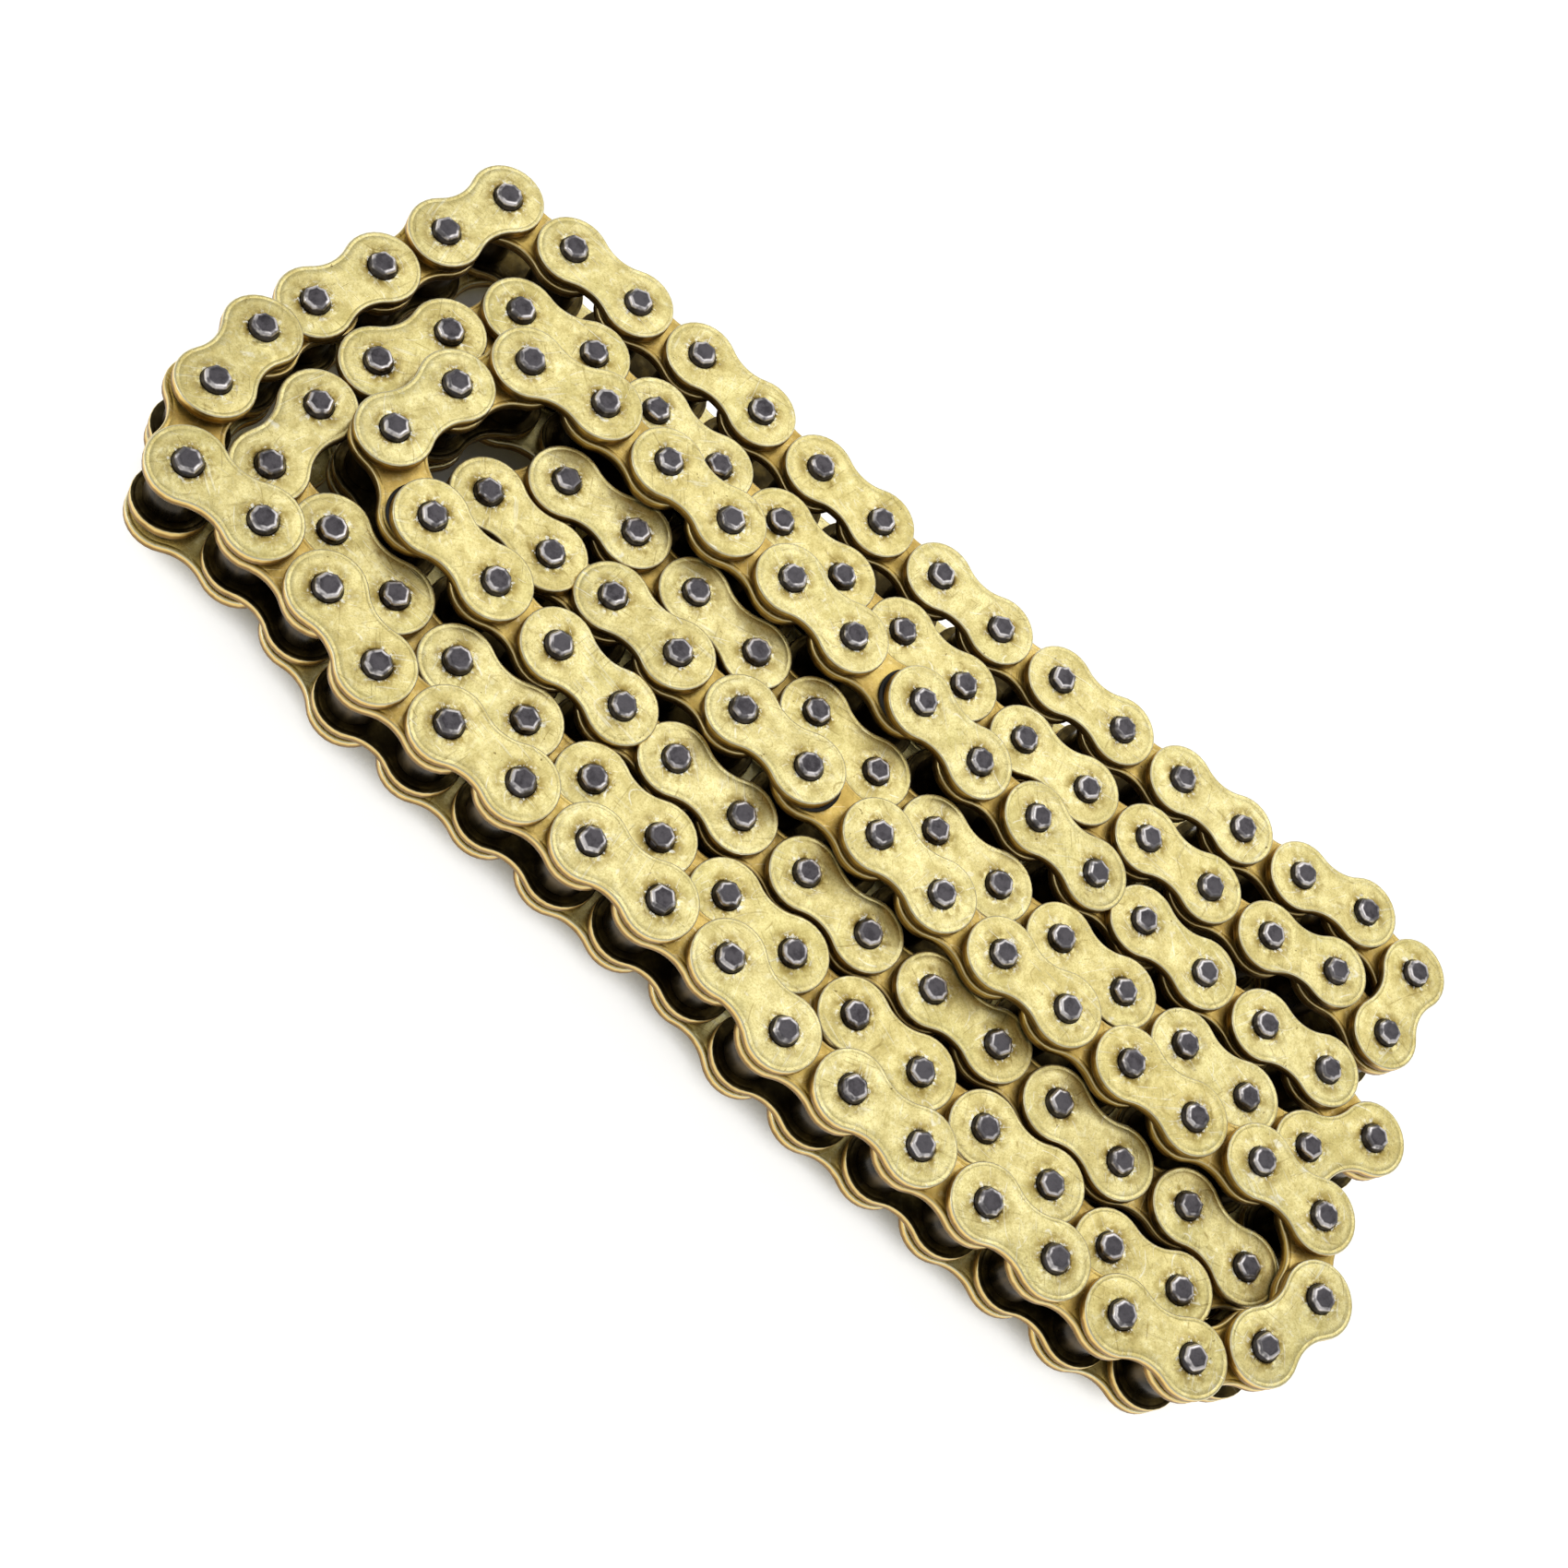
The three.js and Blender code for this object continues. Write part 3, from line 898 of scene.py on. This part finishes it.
def place_loose(node, shape, link, kind, body):
    """One piece of a loose link, standing for the CAD node of that name."""
    material, slot = KINDS[kind]
    moved = Shape()
    moved.add(shape, link["frame"], any_tone())
    make_piece(f"{node}_detailed", moved, material, body, node)


def build_outer_link(name, link, is_last):
    """An outer link: two plates and two pins. The last one's far pin is two stubs, with its
    middle left out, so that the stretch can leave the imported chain."""
    for layer in LAYERS:
        place_loose(f"{name}_plate_{layer}", OUTER_PLATES[layer], link, "outer_plates", name)
    place_loose(f"{name}_pin_near", pin_shape(0.0), link, "pins", name)
    if is_last:
        lower = pin_shape(PITCH, high=OUTER_LOW + PLATE, staked_high=False)
        upper = pin_shape(PITCH, low=OUTER_HIGH, staked_low=False)
        place_loose(f"{name}_pin_far_lower", lower, link, "pins", name)
        place_loose(f"{name}_pin_far_upper", upper, link, "pins", name)
    else:
        place_loose(f"{name}_pin_far", pin_shape(PITCH), link, "pins", name)


def build_inner_link(name, order, link):
    """An inner link: two plates, two bushes, four seals and two rollers that turn."""
    for layer in LAYERS:
        place_loose(f"{name}_plate_{layer}", INNER_PLATES[layer], link, "inner_plates", name)
    for end in ENDS:
        place_loose(f"{name}_bush_{end}", BUSHES[end], link, "bushes", name)
        turning = f"roller_{order}_{end}"
        place_loose(f"{name}_roller_{end}", ROLLERS[end], link, "rollers", turning)
        for layer in LAYERS:
            place_loose(f"{name}_seal_{end}_{layer}", SEALS[end, layer], link, "seals", name)


def build_loose(links):
    """The loose stretch, where each link is a body of its own."""
    for order, link in enumerate(links, start=1):
        if link["outer"]:
            build_outer_link(f"link_{order}", link, is_last=link is links[-1])
        else:
            build_inner_link(f"link_{order}", order, link)


links = lay_links()
for stretch, _ in COURSE:
    own = [link for link in links if link["stretch"] == stretch]
    if stretch == "loose":
        build_loose(own)
    else:
        gather(stretch, own, stretch if stretch.startswith("open_end") else "packed_chain")


# ---- The setting: a pale floor, soft light and the camera

FLOOR_HALF = 3.0
FLOOR_DROP = 0.0002
FLOOR_GREY = 0.62
FLOOR_GLOW = 0.78
# The floor's glow fades where the chain closes it in within this distance: painted shade in the
# hollows between the coils and at the chain's foot
SHADE_REACH = 0.03
HORIZON_STRENGTH = 0.46
OVERHEAD_STRENGTH = 0.42
# Each light's name, direction from the chain, distance, size and brightness
LIGHTS = [
    ("overhead", (0.10, 0.52, 0.85), 0.9, (0.9, 0.75), 1.06),
    ("side", (-0.85, -0.45, 0.45), 0.7, (0.25, 0.25), 2.2),
    ("edge", (0.8, -0.6, 0.5), 0.7, (0.12, 0.3), 1.6),
]
CAMERA_LENS = 56.25
CAMERA_PLACE = (-0.0419, -0.1944, 0.3269)
CAMERA_RIGHT = (0.7566, 0.5174, 0.3998)
CAMERA_BACK = (-0.1018, -0.5108, 0.8537)


def set_values(node, values):
    """Sets constants on the node's own sockets."""
    for socket, value in values.items():
        node.inputs[socket].default_value = value


def eased_range(tree, start, end, low, high):
    """A Map Range node that eases from low at start to high at end."""
    node = tree.nodes.new("ShaderNodeMapRange")
    node.interpolation_type = "SMOOTHSTEP"
    set_values(node, {"From Min": start, "From Max": end, "To Min": low, "To Max": high})
    return node


def floor_material():
    """Pale paper that glows. Its glow shows in polished metal, but doesn't fill the shadows, and it
    dims by ambient occlusion, which paints shade.
    """
    material = bpy.data.materials.new("floor_paper")
    material.use_nodes = True
    tree = material.node_tree
    shader = tree.nodes["Principled BSDF"]
    set_values(shader, {
        "Base Color": colour(FLOOR_GREY, FLOOR_GREY, FLOOR_GREY),
        "Roughness": 0.9,
        "Emission Color": colour(1.0, 1.0, 1.0),
    })
    # Painted shade: the glow follows ambient occlusion, dark in the narrow wells and faint at the
    # chain's foot
    openness = tree.nodes.new("ShaderNodeAmbientOcclusion")
    set_values(openness, {"Distance": SHADE_REACH})
    glow = eased_range(tree, 0.18, 0.50, 0.0, FLOOR_GLOW)
    tree.links.new(openness.outputs["AO"], glow.inputs["Value"])
    tree.links.new(glow.outputs["Result"], shader.inputs["Emission Strength"])
    return material


def make_floor():
    """A pale sheet just under the chain."""
    corners = [(x, y, 0) for x, y in (
        (-FLOOR_HALF, -FLOOR_HALF), (FLOOR_HALF, -FLOOR_HALF),
        (FLOOR_HALF, FLOOR_HALF), (-FLOOR_HALF, FLOOR_HALF),
    )]
    mesh = bpy.data.meshes.new("floor")
    mesh.from_pydata(corners, [], [(0, 1, 2, 3)])
    mesh.materials.append(floor_material())
    floor = bpy.data.objects.new("floor", mesh)
    floor.location.z = -FLOOR_DROP
    floor.visible_diffuse = False
    bpy.context.scene.collection.objects.link(floor)


def add_light(name, direction, distance, size, radiance):
    """A soft rectangle that faces the chain from that direction, and looks that bright."""
    data = bpy.data.lights.new(name, "AREA")
    data.shape = "RECTANGLE"
    data.size, data.size_y = size
    data.energy = radiance * math.pi * size[0] * size[1]
    light = bpy.data.objects.new(name, data)
    light.location = Vector(direction).normalized() * distance
    light.rotation_mode = "QUATERNION"
    light.rotation_quaternion = (-light.location).to_track_quat("-Z", "Y")
    bpy.context.scene.collection.objects.link(light)


def make_world():
    """A plain studio, a little brighter at the horizon than overhead."""
    world = bpy.data.worlds.new("studio")
    world.use_nodes = True
    tree = world.node_tree
    background = tree.nodes["Background"]
    set_values(background, {"Color": colour(1.0, 1.0, 1.0)})
    direction = tree.nodes.new("ShaderNodeTexCoord")
    parts = tree.nodes.new("ShaderNodeSeparateXYZ")
    fade = eased_range(tree, 0.25, 0.9, HORIZON_STRENGTH, OVERHEAD_STRENGTH)
    tree.links.new(direction.outputs["Generated"], parts.inputs["Vector"])
    tree.links.new(parts.outputs["Z"], fade.inputs["Value"])
    tree.links.new(fade.outputs["Result"], background.inputs["Strength"])
    bpy.context.scene.world = world


def make_camera():
    """A camera at the photograph's viewing angle."""
    data = bpy.data.cameras.new("camera")
    data.sensor_width = 36.0
    data.lens = CAMERA_LENS
    data.clip_start = 0.01
    camera = bpy.data.objects.new("camera", data)
    bpy.context.scene.collection.objects.link(camera)
    back = Vector(CAMERA_BACK).normalized()
    right = Vector(CAMERA_RIGHT)
    right = (right - right.dot(back) * back).normalized()
    turn = Matrix((right, back.cross(right), back)).transposed()
    camera.matrix_world = Matrix.Translation(CAMERA_PLACE) @ turn.to_4x4()
    bpy.context.scene.camera = camera


make_floor()
make_world()
for light in LIGHTS:
    add_light(*light)
make_camera()
bpy.context.scene.view_settings.view_transform = "Standard"
